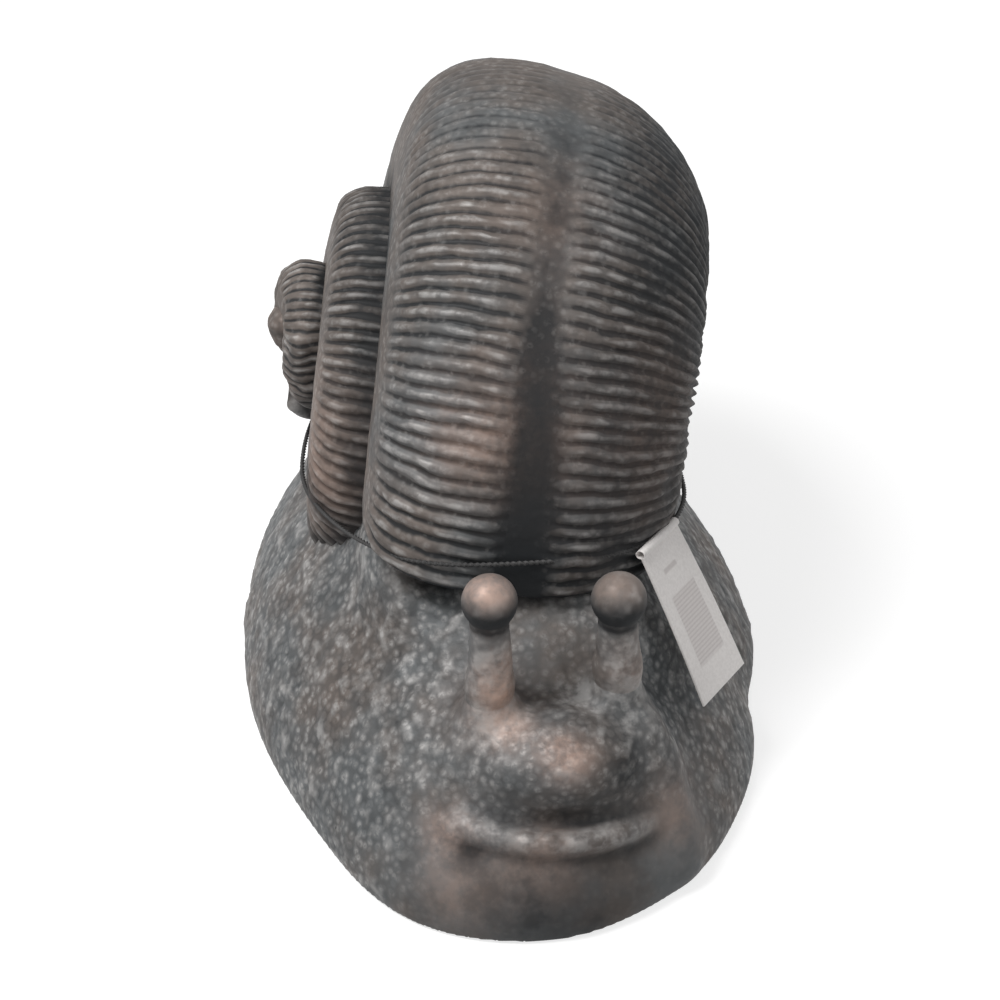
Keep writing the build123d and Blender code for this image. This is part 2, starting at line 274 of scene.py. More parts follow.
# rubbed places shine more; dirt and painted shade are dull
dull = drifts * 0.22 + 0.46 + dirt_and_shade * 0.20 + rub * -0.10 + bronze * -0.10
lumps = kernel * 0.45 * grain + pebbles * 0.35 * grain + sand * 0.25 * grain + drifts * 0.8
for label, source in (("Color", tone), ("Roughness", dull.socket), ("Bump", lumps.socket)):
    patina.links.new(source, patina_out.inputs[label])
print("patina", len(patina.nodes), "nodes")

# %% Finish of the cast pieces
CAST_METALLIC, CAST_SPECULAR, CAST_BUMP = 0.22, 0.2, 0.9 * MM


def cast_finish(name, brown_share, painted=True):
    """A material with the patina; painted pieces carry their own attributes."""
    material, tree, shader = new_material(name)
    group = put(tree, "ShaderNodeGroup", node_tree=patina)
    group.inputs["Brown"].default_value = brown_share
    if painted:
        for label in ("Height", "Dirt_And_Shade", "Copper", "Grain"):
            source = put(tree, "ShaderNodeAttribute", attribute_name=label.lower())
            tree.links.new(source.outputs["Fac"], group.inputs[label])
    looks = [group.outputs[label] for label in ("Color", "Roughness", "Bump")]
    dress(tree, shader, *looks, 0.55, CAST_BUMP)
    shader.inputs["Metallic"].default_value = CAST_METALLIC
    shader.inputs["Specular IOR Level"].default_value = CAST_SPECULAR
    return material


# %% [markdown]
# ## The rule of the shell
# A snail's shell is one tube wound round an axis, getting smaller as it climbs to the tip. So the
# sizes of the tube are known at any turn: how far it stands from the axis, where its edge lies along
# it, and how wide it is. The same table shaped the solids.

# %% Sizes of the tube
SHELL_CENTRE = Vector((15, 40, 106)) * MM
SHELL_YAW, SHELL_TILT = math.radians(11), math.radians(8.5)
SHELL_RADIUS, SPIRE_REACH, CORE = 129 * MM, 107 * MM, 12 * MM
HALF_SPIRE, HALF_BASE, CROWN_HEIGHT = 52 * MM, 74 * MM, 60 * MM
TURNS = (-0.35, 0, 0.5, 1, 1.6, 2, 2.6)
RADIUS_SHARES = (1.155, 1, 0.75, 0.54, 0.225, 0.222, 0.14)
EDGE_SHARES = (0.505, 0.6, 0.72, 0.8, 0.87, 0.945, 1)
MOUTH_TURN, MAIN_END, SPIRE_END, TIP_END = -0.26, 0.69, 1.6, 2.3
MOUTH_NARROWING, SEAM = 0.24, 2 * MM
# fullness of the section's quarters, spire side and base side: outside, then inside
POWERS = ((2.8, 2.05), (2.6, 3.4))

spire = Vector((-math.cos(SHELL_YAW), math.sin(SHELL_YAW), 0)) * math.cos(SHELL_TILT)
spire.z = math.sin(SHELL_TILT)
ahead = (Vector((0, -1, 0)) - spire * spire.dot(Vector((0, -1, 0)))).normalized()
above = pointing(ahead.cross(spire), Vector((0, 0, 1)))


# %% Smooth values between the turns
def share_at(turn, shares):
    """Smooth value between the shares given at TURNS."""
    k = max([i for i in range(len(TURNS) - 1) if turn >= TURNS[i]] or [0])
    rises = [(shares[i + 1] - shares[i]) / (TURNS[i + 1] - TURNS[i]) for i in range(len(TURNS) - 1)]

    def slope(i):
        if i == 0 or i == len(rises):
            return rises[min(i, len(rises) - 1)]
        product = rises[i - 1] * rises[i]
        return 0 if product <= 0 else 2 * product / (rises[i - 1] + rises[i])

    step = TURNS[k + 1] - TURNS[k]
    u = (turn - TURNS[k]) / step
    return ((2 * u**3 - 3 * u**2 + 1) * shares[k] + (u**3 - 2 * u**2 + u) * step * slope(k)
            + (3 * u**2 - 2 * u**3) * shares[k + 1] + (u**3 - u**2) * step * slope(k + 1))


def tube_at(turn, core=CORE):
    """Middle, crown and half sizes of the tube at a turn."""
    radius = SHELL_RADIUS * share_at(turn, RADIUS_SHARES)
    size = min(1, radius / SHELL_RADIUS) + min(0, MOUTH_NARROWING * turn)
    crown = radius - CROWN_HEIGHT * size
    return {
        "middle": SPIRE_REACH * share_at(turn, EDGE_SHARES) - HALF_SPIRE * size,
        "crown": crown,
        "half_spire": HALF_SPIRE * size,
        "half_base": HALF_BASE * size,
        "rise_out": CROWN_HEIGHT * size,
        "rise_in": crown - core,
    }


print("main tube", {key: round(value / MM, 1) for key, value in tube_at(0).items()})


# %% [markdown]
# ## The spine of a whorl
# Geometry Nodes will wind the tube. It needs the sizes at each ring of it, so they are written on a
# row of loose points, one for each ring. The rings are spaced by the ribs: the same number of them
# for each rib, so that every groove falls on a ring and stays sharp.

# %% Rings of a whorl
ARC_STEPS = 1200


def ring_turns(first, last, rib_pitch, rings_per_rib):
    """Turn and way along the tube of each ring; the end rings come twice, for the caps."""
    fine = np.linspace(first, last, ARC_STEPS)
    steps = np.array([SHELL_RADIUS * share_at(turn, RADIUS_SHARES) * math.tau for turn in fine])
    arc = np.concatenate([[0], np.cumsum((steps[1:] + steps[:-1]) / 2 * np.diff(fine))])
    rings = int(arc[-1] / rib_pitch * rings_per_rib)
    places = np.arange(rings + 1) * (rib_pitch / rings_per_rib)
    turns = np.interp(places, arc, fine)
    return [np.concatenate([values[:1], values, values[-1:]]) for values in (turns, places)]


def seam_angle(sizes):
    """Angle round the section at which the tube crosses the seam of the two halves."""
    off = SEAM - sizes["middle"]
    half, power = (sizes["half_base"], POWERS[0][1]) if off < 0 else (sizes["half_spire"], POWERS[0][0])
    return math.acos(math.copysign(min(1, abs(off) / half) ** (power / 2), off))


# %% Spine of a whorl
def whorl_spine(name, first, last, rib_pitch, rings_per_rib, start, finish, core):
    """Points for the rings from one turn to another, with the tube's sizes on them."""
    turns, places = ring_turns(first, last, rib_pitch, rings_per_rib)
    count = len(turns)
    sizes = [tube_at(turn, core) for turn in turns]
    rows = {key: [size[key] for size in sizes] for key in sizes[0]}
    rows["start"] = [seam_angle(size) if start is None else start for size in sizes]
    rows["finish"] = [finish] * count
    rows["cap"] = [math.copysign(0.5, -finish) if start is None else 0] * count
    rows["open"] = [0] + [1] * (count - 2) + [0]
    rows["rib"] = places / rib_pitch
    rows["turn"] = turns
    mesh = bpy.data.meshes.new(name + "_spine")
    mesh.from_pydata([(0, 0, 0)] * count, [], [])
    for key, values in rows.items():
        write_values(mesh, key, values)
    angles = [math.radians(90 + 360 * turn) for turn in turns]
    spokes = [ahead * math.cos(angle) + above * math.sin(angle) for angle in angles]
    mesh.attributes.new("spoke", "FLOAT_VECTOR", "POINT").data.foreach_set("vector", np.ravel(spokes))
    print(name, "rings", count, "ribs", round(places[-1] / rib_pitch))
    return add_object(name + "_spine", mesh)


# %% [markdown]
# ## Winding the tube
# The tree turns a flat grid into the tube: one way along the grid is round the section, the other is
# along the spine. The section is a squared-off oval with a different fullness in each quarter. Ribs
# cross it from side to side, fade out beside the smooth furrow on the crest, and wander a little, as
# if cut by hand. Their height is also kept on the points, for the patina.

# %% Tree that winds the shell
WINDING_SIZES = (
    ("Rib Height", 1.8 * MM), ("Rib Wander", 0.7), ("Furrow Depth", 1.1 * MM),
    ("Furrow Half Width", 9.0 * MM), ("Grain Depth", 0.5 * MM), ("Lump Depth", 0.5 * MM),
    ("Shoulder Power", POWERS[0][0]), ("Raise", 0.0), ("Seed", 1.0),
)
winding, wind_in, wind_out = new_tree(
    "wound_shell", "GeometryNodeTree",
    [("Spine", "NodeSocketGeometry", None), ("Section Points", "NodeSocketInt", 48),
     *((label, "NodeSocketFloat", value) for label, value in WINDING_SIZES),
     ("Finish", "NodeSocketMaterial", None)],
    [("Shell", "NodeSocketGeometry")],
)


def asked(label):
    """An input of the winding tree as a number."""
    return Number(winding, wind_in.outputs[label])


spine_socket = wind_in.outputs["Spine"]
rings = put(winding, "GeometryNodeAttributeDomainSize", {"Geometry": spine_socket}).outputs["Point Count"]
grid = put(winding, "GeometryNodeMeshGrid",
           {"Vertices X": rings, "Vertices Y": wind_in.outputs["Section Points"]})
index = Number(winding, put(winding, "GeometryNodeInputIndex").outputs[0])
points = asked("Section Points")
ring = (index / points).do("FLOOR")
step = index - ring * points


# %% Reading the spine
def on_spine(key, kind="FLOAT"):
    """What the spine says at this ring."""
    named = put(winding, "GeometryNodeInputNamedAttribute", {"Name": key}, data_type=kind)
    sample = put(winding, "GeometryNodeSampleIndex", {"Geometry": spine_socket}, data_type=kind)
    winding.links.new(live_socket(named.outputs, "Attribute"), live_socket(sample.inputs, "Value"))
    winding.links.new(ring.socket, sample.inputs["Index"])
    out = live_socket(sample.outputs, "Value")
    return out if kind != "FLOAT" else Number(winding, out)


def vector_do(operation, *values):
    """Vector arithmetic in the winding tree."""
    return put(winding, "ShaderNodeVectorMath", dict(enumerate(values)), operation=operation).outputs[0]


def scaled(vector, number, tree=winding):
    """A vector times a number in a tree."""
    return put(tree, "ShaderNodeVectorMath", {0: vector, "Scale": number}, operation="SCALE").outputs[0]


# %% Section of the tube
last_column = step.do("COMPARE", points - 1, 0.5)
share = step / (points - 2) * last_column.rest()
start, finish = on_spine("start"), on_spine("finish")
angle = start + (finish - start) * share
cosine, sine = angle.do("COSINE"), angle.do("SINE")
to_spire, outer = cosine.do("GREATER_THAN", 0), sine.do("GREATER_THAN", 0)


def quarters(values):
    """One of four values, by the quarter of the section."""
    (out_spire, out_base), (in_spire, in_base) = values
    high = out_spire * to_spire + to_spire.rest() * out_base
    low = to_spire.between(in_base, in_spire)
    return high * outer + low * outer.rest()


power = quarters(((asked("Shoulder Power"), POWERS[0][1]), POWERS[1]))
half = on_spine("half_spire") * to_spire + on_spine("half_base") * to_spire.rest()
rise = on_spine("rise_out") * outer + on_spine("rise_in") * outer.rest()
middle, crown, is_open = on_spine("middle"), on_spine("crown"), on_spine("open")
cap_middle = middle + on_spine("cap") * half
full = power.do("POWER", -1) * 2


def signed_power(number, exponent):
    """A power that keeps the number's sign."""
    return number.do("ABSOLUTE").do("POWER", exponent) * number.do("SIGN")


side_share, rise_share = signed_power(cosine, full), signed_power(sine, full)
along = middle + half * side_share
along = cap_middle + (along - cap_middle) * is_open
out = crown + rise * rise_share * is_open
lean = full * -1 + 2
normal_along, normal_out = signed_power(cosine, lean) / half, signed_power(sine, lean) / rise

# %% Places and normals on the tube
spoke = on_spine("spoke", "FLOAT_VECTOR")
smooth_place = vector_do("ADD", vector_do("ADD", tuple(SHELL_CENTRE), scaled(tuple(spire), along)),
                         scaled(spoke, out))
outwards = vector_do("NORMALIZE", vector_do("ADD", scaled(tuple(spire), normal_along),
                                            scaled(spoke, normal_out)))

# %% Ribs, furrow and wear
shifted = vector_do("ADD", smooth_place, scaled((1, 1, 1), asked("Seed")))
wander = cloud(winding, shifted, 17 * MM, 2.5) - 0.5
wear = cloud(winding, shifted, 11 * MM, 4.0, 0.65)
# ribs: a row of rounded ridges, one for each whole number of the phase
phase = on_spine("rib") + wander * asked("Rib Wander")
ridge = (phase * math.pi).do("SINE").do("ABSOLUTE").do("POWER", 1.5)
turn = on_spine("turn")
# the furrow: wider low down at the mouth, with a ragged edge
low_down = turn.fade(-0.10, -0.24)
off_seam = (along - SEAM + low_down * 7 * MM).do("ABSOLUTE")
furrow_edge = asked("Furrow Half Width") * low_down.between(1.0, 1.35)
ragged = furrow_edge * (wear * 0.9 + 0.55)
beside = off_seam.do("DIVIDE", ragged)
# ribs fade out beside the furrow, towards the axis, and where the first turn is worn
rib_mask = beside.fade(0.55, 1.45) * (out / crown).fade(0.25, 0.75) * side_share.fade(0.99, 0.82)
worn_top = (turn - 0.07).do("ABSOLUTE").fade(0.20, 0.06)
rib_mask = rib_mask * (worn_top * -0.72 + 1)
furrow = beside.fade(1.5, 0.0) * outer
uneven = wear.fade(0.30, 0.62).between(0.45, 1.15)
relief = ridge * rib_mask * uneven
furrow_sink = turn.fade(0.12, -0.16).between(0.12, 1.0)
lift = (relief * asked("Rib Height") - furrow * furrow_sink * asked("Furrow Depth")
        + (cloud(winding, shifted, 3.2 * MM, 3.0) - 0.5) * asked("Grain Depth")
        + wander * 2 * asked("Lump Depth"))

# %% Move the points and keep what the patina needs
position = vector_do("ADD", smooth_place, scaled(outwards, lift * is_open))
position = vector_do("ADD", position, scaled((0, 0, 1), asked("Raise")))
shaped = put(winding, "GeometryNodeSetPosition", {"Geometry": grid.outputs["Mesh"], "Position": position})
# besides being sunk, the furrow is painted darker, most of all low down: painted shade
height_now = relief + rib_mask.rest() * 0.45 - furrow * furrow_sink * 0.3
for key, value in (("height", height_now), ("furrow", furrow), ("turn", turn), ("along", along),
                   ("grain", (rib_mask * -0.30 + 0.62) * (furrow * -0.75 + 1))):
    store = put(winding, "GeometryNodeStoreNamedAttribute",
                {"Geometry": shaped.outputs[0], "Name": key}, data_type="FLOAT", domain="POINT")
    winding.links.new(value.socket, live_socket(store.inputs, "Value"))
    shaped = store
welded = put(winding, "GeometryNodeMergeByDistance",
             {"Geometry": shaped.outputs[0], "Distance": 0.02 * MM})
end_tree(winding, welded.outputs[0], wind_in, wind_out)


# %% Run a tree and close a mesh
SHARP = math.radians(55)


def run_tree(piece, tree, values, name):
    """Runs a tree on a piece and keeps the result as a plain mesh."""
    modifier = piece.modifiers.new("build", "NODES")
    modifier.node_group = tree
    sockets = {item.name: item.identifier for item in tree.interface.items_tree if item.in_out == "INPUT"}
    for label, value in values.items():
        modifier[sockets[label]] = value
    mesh = finished_mesh(piece)
    mesh.name = name
    piece.modifiers.remove(modifier)
    bpy.data.objects.remove(piece)
    return add_object(name, mesh)


def face_outwards(piece):
    """Makes the faces of a closed mesh point outwards and shades it smooth."""
    shape = bmesh.new()
    shape.from_mesh(piece.data)
    bmesh.ops.recalc_face_normals(shape, faces=shape.faces)
    for face in shape.faces:
        face.smooth = True
    for edge in shape.edges:
        edge.smooth = edge.calc_face_angle(0) < SHARP
    holes = sum(edge.is_boundary for edge in shape.edges)
    print(piece.name, "triangles", sum(len(face.verts) - 2 for face in shape.faces), "open edges", holes)
    shape.to_mesh(piece.data)
    shape.free()


# %% Wind the whorls
shell_finish = cast_finish("shell_patina", 0.56)
spire_finish = cast_finish("spire_patina", 0.68)
# first and last turn, rib spacing in mm, rings for each rib, angles at which the section starts and
# ends, points round it, seed, finish, and how near to the axis it comes
WHORLS = (
    ("shell_left", MOUTH_TURN, MAIN_END, 6.4, 8, None, -1.75, 52, 1.0, shell_finish, CORE),
    ("shell_right", MOUTH_TURN, MAIN_END, 6.4, 8, None, 4.5, 60, 1.0, shell_finish, CORE),
    ("spire_second", MAIN_END, SPIRE_END, 5.6, 8, 0.0, math.tau * 0.985, 64, 3.0, spire_finish, 5 * MM),
    ("spire_point", SPIRE_END, TIP_END, 4.4, 8, 0.0, math.tau * 0.98, 48, 5.0, spire_finish, 5 * MM),
)
SPIRE_SHAPE = {"Furrow Depth": 0.0, "Furrow Half Width": 0.001 * MM, "Rib Height": 1.6 * MM,
               "Shoulder Power": 3.3}
POINT_SHAPE = {"Raise": 4 * MM, "Lump Depth": 5 * MM, "Rib Wander": 2.0, "Rib Height": 0.8 * MM,
               "Shoulder Power": 2.1}
whorls = {}
for name, first, last, pitch, per_rib, start_at, finish_at, count, seed, finish_material, core in WHORLS:
    row = whorl_spine(name, first, last, pitch * MM, per_rib, start_at, finish_at, core)
    values = {"Section Points": count, "Seed": seed, "Finish": finish_material}
    if start_at is not None:
        values.update(SPIRE_SHAPE)
    if name == "spire_point":
        values.update(POINT_SHAPE)
    whorls[name] = run_tree(row, winding, values, name)
    face_outwards(whorls[name])

# %% [markdown]
# ## The snail's skin
# The foot, back, collar, head and chin are one casting, and each mass flows into the next. Such a
# shape is easiest as a field of distances: every mass says how far a point is from its skin, the
# fields are blended where they meet, and a net is drawn where the blend is zero. The masses stand
# where those of the solids do, with steeper flanks and an outline that is drawn in behind.

# %% Sizes of the body
GRID, GRID_FINE, TINY = 1.7 * MM, 0.8 * MM, 1e-6
FOOT_HALF_WIDTH, FOOT_HALF_LENGTH = 103 * MM, 181 * MM
FOOT_LOW, PLATE_TOP, PLATE_INSET = 0.6 * MM, 5.6 * MM, 9.5 * MM
DOME_LOW, DOME_HEIGHT, DOME_SHIFT, SADDLE_HEIGHT = 5 * MM, 100 * MM, 10 * MM, 84 * MM
DOME_LEFT, DOME_RIGHT, DOME_ALONG = 1.66, 1.36, 1.6
# angle round the foot in degrees, spread and size of each bulge or dent in its outline
OUTLINE_SWELLS = (
    (236, 20, 0.055), (342, 8, -0.045), (45, 24, -0.045),
    (138, 24, -0.045), (192, 20, 0.03), (290, 14, -0.03),
)


# %% An egg-shaped mass
def oval_gap(places, halves, grow=1):
    """Distance, near enough, from an oval with these half sizes round the origin."""
    near = np.sqrt(sum((place / half) ** 2 for place, half in zip(places, halves))) / grow + TINY
    steep = np.sqrt(sum((place / half**2) ** 2 for place, half in zip(places, halves))) / grow + TINY
    return near * (near - 1) / steep


def egg(x, y, z, middle, halves):
    """Distance from an egg-shaped mass; the place counts forward along y."""
    places = x - middle[0] * MM, y + middle[1] * MM, z - middle[2] * MM
    return oval_gap(places, [half * MM for half in halves])


# %% Foot and back
def outline_swell(x, y, half_x, half_y):
    """Growth of the foot's outline: a bulge by the chin, a dent on the right, narrower behind."""
    angle = np.degrees(np.arctan2(y / half_y, x / half_x)) % 360
    return 1 + sum(size * np.exp(-(((angle - at) / spread) ** 2)) for at, spread, size in OUTLINE_SWELLS)


def foot_outline(x, y, inset):
    """Distance, near enough, from the foot's outline."""
    halves = FOOT_HALF_WIDTH - inset, FOOT_HALF_LENGTH - inset
    return oval_gap((x, y), halves, outline_swell(x, y, *halves))


def back_dome(x, y, z):
    """Distance, near enough, from the dome of the back, which carries the shell."""
    rise = np.clip((z - DOME_LOW) / DOME_HEIGHT, 0, 0.995)
    power_here = DOME_LEFT + (DOME_RIGHT - DOME_LEFT) * np.clip(x / (40 * MM) + 0.5, 0, 1)
    across = (1 - rise**power_here) ** (1 / power_here)
    along = (1 - rise**DOME_ALONG) ** (1 / DOME_ALONG)
    y = y + DOME_SHIFT * rise
    half_x, half_y = FOOT_HALF_WIDTH * across, FOOT_HALF_LENGTH * along
    grow = outline_swell(x, y, half_x, half_y)
    half_x, half_y = half_x * grow, half_y * grow
    near = np.sqrt((x / half_x) ** 2 + (y / half_y) ** 2) + TINY
    upwards = near * rise / across**2 / DOME_HEIGHT
    steep = np.sqrt((x / half_x**2) ** 2 + (y / half_y**2) ** 2 + upwards**2)
    return np.maximum(near * (near - 1) / (steep + TINY), z - SADDLE_HEIGHT)


# %% Fillets and rods
def melt(a, b, reach):
    """Union of two fields with a soft fillet of that reach."""
    reach = reach * MM
    h = np.clip(0.5 + 0.5 * (b - a) / reach, 0, 1)
    return b * (1 - h) + a * h - reach * h * (1 - h)


def carve(a, b, reach):
    """Field a with b cut out of it, with a soft edge."""
    return -melt(-a, b, reach)


def rod(x, y, z, low, high, low_radius, high_radius):
    """Distance from a rod whose thickness changes along it; places count forward along y."""
    a, b = (np.array((end[0], -end[1], end[2])) * MM for end in (low, high))
    d = b - a
    t = np.clip(((x - a[0]) * d[0] + (y - a[1]) * d[1] + (z - a[2]) * d[2]) / (d @ d), 0, 1)
    gap = np.sqrt((x - a[0] - t * d[0]) ** 2 + (y - a[1] - t * d[1]) ** 2 + (z - a[2] - t * d[2]) ** 2)
    return gap - (low_radius + (high_radius - low_radius) * t) * MM


# %% Places on the head
# side, place and height of the ball's middle
STALKS = (("left", -21.0, 130.0, 121.0), ("right", 27.5, 126.0, 114.5))
LIP = ((-37, 155, 39.5), (-29, 161.5, 39), (-21, 165.5, 38.2), (-12, 168, 37.4), (-3, 169, 36.8),
       (6, 169, 36), (14, 167.5, 35.4), (21, 165, 34.6), (28, 161, 33.4), (35, 154.5, 32))
CHEEK_FOLD = ((35, 136, 58), (40, 141, 44), (44, 146, 28), (46, 150, 12))
# middle, half sizes and fillet of the collar, chin, head, muzzle and nose
MASSES = (
    ((2, 58, 50), (64, 66, 55), 8),
    ((-3, 110, 10), (72, 70, 32), 10),
    ((3, 122, 36), (50, 42, 34.5), 9),
    ((3, 142, 55.5), (32, 21, 18.5), 7),
    ((4, 155.5, 60), (13, 8, 8), 6),
)
SKIN_UNDER_SHELL = ((-47, 50, 80), (13, 34, 29), 14)
MOUTH = ((9, 174, 42.5), (36, 12, 5), 5)


# %% The whole body
def line_gap(x, y, z, points, radius):
    """Distance from a row of rods through some points."""
    gap = rod(x, y, z, points[0], points[1], radius, radius)
    for low, high in zip(points[1:], points[2:]):
        gap = np.minimum(gap, rod(x, y, z, low, high, radius, radius))
    return gap


def body_field(x, y, z):
    """Distance from the skin of the whole body."""
    def add_egg(field, middle, halves, fillet, join=melt):
        return join(field, egg(x, y, z, middle, halves), fillet)

    field = back_dome(x, y, z)
    for mass in MASSES:
        field = add_egg(field, *mass)
    for _, at_x, at_y, _ in STALKS:
        field = melt(field, rod(x, y, z, (at_x, at_y, 42), (at_x, at_y, 77), 18, 9.0), 9)
    field = melt(field, line_gap(x, y, z, CHEEK_FOLD, 8), 10)
    field = add_egg(field, *SKIN_UNDER_SHELL)
    field = add_egg(field, *MOUTH, join=carve)
    field = melt(field, line_gap(x, y, z, LIP, 3.4), 6)
    for k, (at_x, at_y, at_z) in enumerate(LIP[1:-1]):
        bead = 1 + 0.16 * math.sin(2.4 * k)
        field = add_egg(field, (at_x, at_y + 0.6, at_z + 0.6), (3.9 * bead, 3.8, 3.9 * bead), 2.5)
    field = carve(field, z - FOOT_LOW, 1.6)
    rebate = np.maximum(foot_outline(x, y, PLATE_INSET), z - PLATE_TOP)
    return np.maximum(field, -rebate)


# %% Net over a field
OTHER_AXES = ((1, 2), (0, 2), (0, 1))


def window(narrowed):
    """Slices that take a part of a block of numbers, narrowed along some axes."""
    return tuple(narrowed.get(axis, slice(None)) for axis in range(3))


def net(field_of, low, high, cell):
    """Closed mesh where a field is zero: one point in each cell that the skin crosses."""
    axes = [np.arange(a, b + cell, cell) for a, b in zip(low, high)]
    x, y, z = np.meshgrid(*axes, indexing="ij")
    field = field_of(x, y, z)
    inside = field < 0
    shape = np.array(field.shape) - 1
    total, count = np.zeros((*shape, 3)), np.zeros(shape)
    corner = np.stack([x, y, z], -1)
    crossings = []
    for axis, (u, v) in enumerate(OTHER_AXES):
        first, second = window({axis: slice(0, -1)}), window({axis: slice(1, None)})
        cross = inside[first] != inside[second]
        share = np.where(cross, field[first] / np.where(cross, field[first] - field[second], 1), 0)
        points = corner[first] + share[..., None] * (corner[second] - corner[first])
        crossings.append((cross, inside[first]))
        for du, dv in ((0, 0), (0, 1), (1, 0), (1, 1)):
            pick = window({u: slice(du, du + shape[u]), v: slice(dv, dv + shape[v])})
            total += np.where(cross[pick][..., None], points[pick], 0)
            count += cross[pick]
    used = count > 0
    number = np.full(shape, -1)
    number[used] = np.arange(used.sum())
    return total[used] / count[used][:, None], net_faces(number, crossings)


# %% Faces of the net
def net_faces(number, crossings):
    """A face across each edge that the skin crosses, between the four numbered points round it."""
    faces = []
    for axis, (cross, start_inside) in enumerate(crossings):
        u, v = OTHER_AXES[axis]
        where = np.argwhere(cross)
        sides = where[:, (u, v)]
        where = where[((sides > 0) & (sides < (number.shape[u], number.shape[v]))).all(1)]
        flip = start_inside[tuple(where.T)] ^ (axis == 1)
        quad = []
        for du, dv in ((-1, -1), (0, -1), (0, 0), (-1, 0)):
            at = where.copy()
            at[:, u] += du
            at[:, v] += dv
            quad.append(number[tuple(at.T)])
        quad = np.stack(quad, 1)
        quad[~flip] = quad[~flip][:, ::-1]
        faces.append(quad)
    return np.concatenate(faces)


# %% How the skin leans and bends
def gradient(field_of, points, step=0.4 * MM):
    """Direction in which a field grows at some points, by small steps."""
    columns = []
    for axis in range(3):
        ahead_of, behind = points.copy(), points.copy()
        ahead_of[:, axis] += step
        behind[:, axis] -= step
        columns.append(field_of(*ahead_of.T) - field_of(*behind.T))
    slope = np.stack(columns, 1)
    return slope / (np.linalg.norm(slope, axis=1)[:, None] + 1e-12)


def bend(field_of, points, normals, reach):
    """How far the skin curves away (ridges, above 0) or closes in (creases, below 0)."""
    side = np.cross(normals, (0.31, 0.17, 0.93))
    side /= np.linalg.norm(side, axis=1)[:, None]
    other = np.cross(normals, side)
    total = 0
    for direction in (side, -side, other, -other):
        total = total + field_of(*(points + direction * reach).T)
    return total / 4 / reach


# %% [markdown]
# ## Skin of the body
# The casting's skin is pebbled on the flanks and forehead and smoother on the chin and between the
# stalks. The pebbles are shaped into the mesh, and finer grain is left to the patina. Soft spots on
# chosen places paint where hands or a polishing cloth have brought out the copper.

# %% Random bumps without a texture
def hash_noise(points, size, seed):
    """Smooth random values from 0 to 1 at points, with lumps of about that size."""
    scaled_points = points / size + seed * 17.13
    base = np.floor(scaled_points).astype(np.int64)
    part = scaled_points - base
    part = part * part * (3 - 2 * part)
    total = 0
    for corner in range(8):
        step = np.array([(corner >> k) & 1 for k in range(3)])
        cell = base + step
        mixed = cell[:, 0] * 73856093 ^ cell[:, 1] * 19349663 ^ cell[:, 2] * 83492791
        mixed = (mixed ^ (mixed >> 13)) * 1274126177
        value = ((mixed ^ (mixed >> 16)) & 0xFFFF) / 0xFFFF
        weight = np.prod(np.where(step, part, 1 - part), axis=1)
        total = total + value * weight
    return total


# %% Painted spots and skinned pieces
def spots(points, places):
    """Sum of soft round spots: (x, forward y, z), radius and strength, in millimetres."""
    total = np.zeros(len(points))
    for (at_x, at_y, at_z), radius, strength in places:
        gap = np.linalg.norm(points - np.array((at_x, -at_y, at_z)) * MM, axis=1)
        total += strength * np.exp(-((gap / (radius * MM)) ** 2))
    return total


def skin_piece(name, vertices, faces, finish, attributes):
    """A closed mesh with its finish and painted attributes."""
    mesh = bpy.data.meshes.new(name)
    mesh.from_pydata(vertices.tolist(), [], faces.tolist())
    for key, values in attributes.items():
        write_values(mesh, key, np.clip(values, 0, 1))
    mesh.materials.append(finish)
    piece = add_object(name, mesh)
    face_outwards(piece)
    return piece


# %% Body casting
body_finish = cast_finish("body_patina", 0.47)
BODY_LOW, BODY_HIGH = (-0.114, -0.190, -0.004), (0.114, 0.190, 0.128)
LUMP_LIFT, SWELL_LIFT = 1.5 * MM, 1.2 * MM
vertices, faces = net(body_field, BODY_LOW, BODY_HIGH, GRID)
normals = gradient(body_field, vertices)
edge = bend(body_field, vertices, normals, 5 * MM)
fold, crest = np.clip(-edge * 3.0, 0, 1), np.clip(edge * 2.2 - 0.15, 0, 1)

# %% Pebbles, and the places that are smooth
smooth_places = (
    ((2, 170, 12), 36, 1.4),
    ((-38, 162, 14), 26, 1.0),
    ((40, 156, 14), 24, 0.9),
    ((3, 112, 72), 16, 0.5),
    ((3, 96, 84), 22, 0.35),
    ((48, 152, 30), 16, 0.6),
    ((-21, 130, 74), 15, 0.8),
    ((27.5, 126, 70), 15, 0.8),
)
polished = np.clip(spots(vertices, smooth_places), 0, 1)
lumps = hash_noise(vertices, 3.6 * MM, 1) * 0.65 + hash_noise(vertices, 2.3 * MM, 2) * 0.35
swell = hash_noise(vertices, 14 * MM, 3)
lift = (lumps - 0.5) * LUMP_LIFT * (1 - 0.8 * polished) + (swell - 0.5) * SWELL_LIFT
lift *= np.clip((vertices[:, 2] - 2 * MM) / (5 * MM), 0, 1)
stalk_feet = [((at_x, at_y, 80), 15, 1.3) for _, at_x, at_y, _ in STALKS]
lift *= 1 - np.clip(spots(vertices, stalk_feet), 0, 1)
vertices = vertices + normals * lift[:, None]
